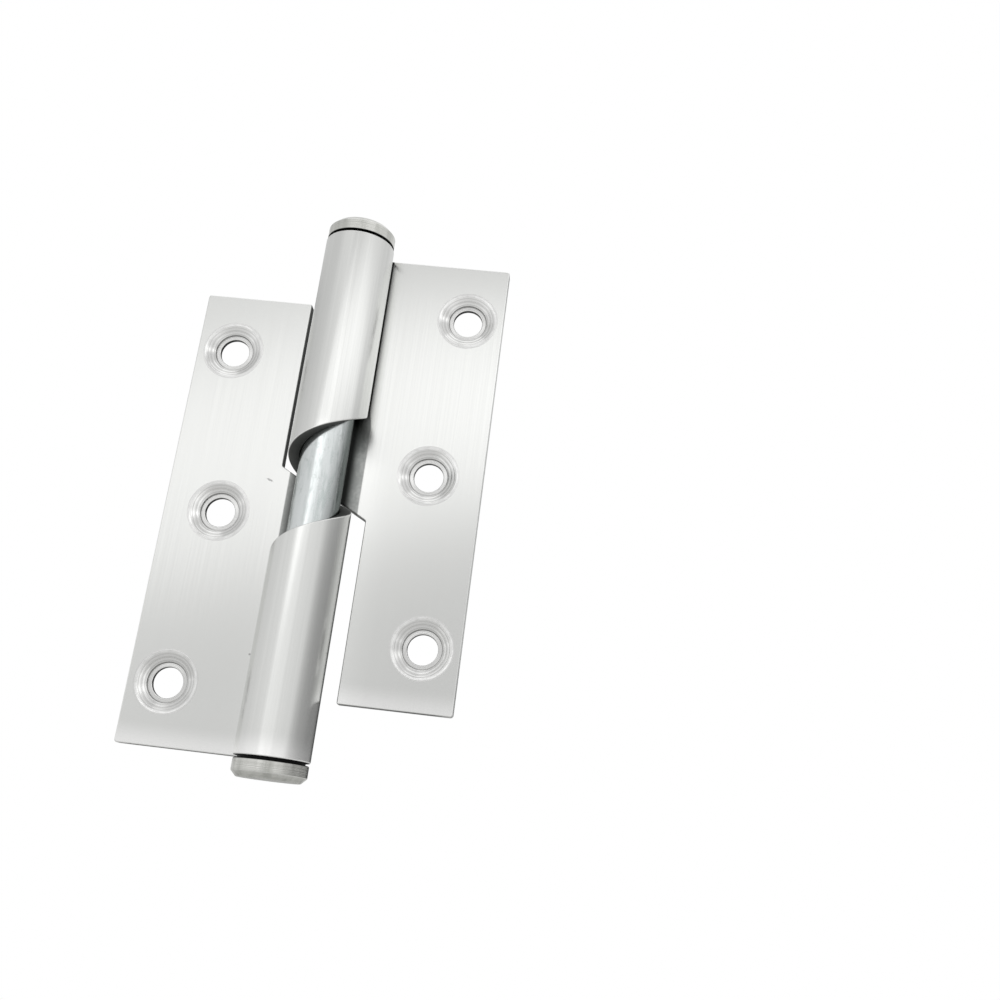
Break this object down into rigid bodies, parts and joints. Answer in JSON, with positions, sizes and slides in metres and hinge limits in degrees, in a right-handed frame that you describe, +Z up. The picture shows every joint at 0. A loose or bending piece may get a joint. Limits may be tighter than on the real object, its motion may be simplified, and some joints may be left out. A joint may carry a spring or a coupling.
{
  "type": "rising butt hinge",
  "caption": "Rising butt hinge laid open flat: countersunk sheet leaves, rolled knuckles with helical cam edges that lift the door as it swings, a straight pin and turned end caps.",
  "frame": {"origin": "middle of the frame leaf's end screws, on the leaf's back, which lies on the door frame", "axes": "+Z up along the pin, +X from the frame leaf to the door leaf when the hinge is open flat, +Y out of the leaves' backs"},
  "size_m": [0.067, 0.0151, 0.1205],
  "materials": {
    "satin_stainless": "satin brushed along the pin",
    "turned_stainless": "turned, fine rings",
    "zinc_plate": "bright zinc plate, mottled"
  },
  "bodies": {
    "frame": {"frame_leaf": "satin_stainless", "lower_cap": "turned_stainless"},
    "pin": {"pin": "zinc_plate"},
    "door": {"door_leaf": "satin_stainless", "upper_cap": "turned_stainless"}
  },
  "joints": [
    {"name": "swing", "type": "hinge", "parent": "frame", "child": "pin", "pos_m": [0.0255, -0.00755, 0], "axis": [0, 0, 1], "range_deg": [-180, 0]},
    {"name": "rise", "type": "slide", "parent": "pin", "child": "door", "axis": [0, 0, 1], "range_m": [-0.0105, 0]}
  ],
  "couplings": [
    {"joint": "rise", "follows": "swing", "m_per_rad": 0.0033422}
  ]
}
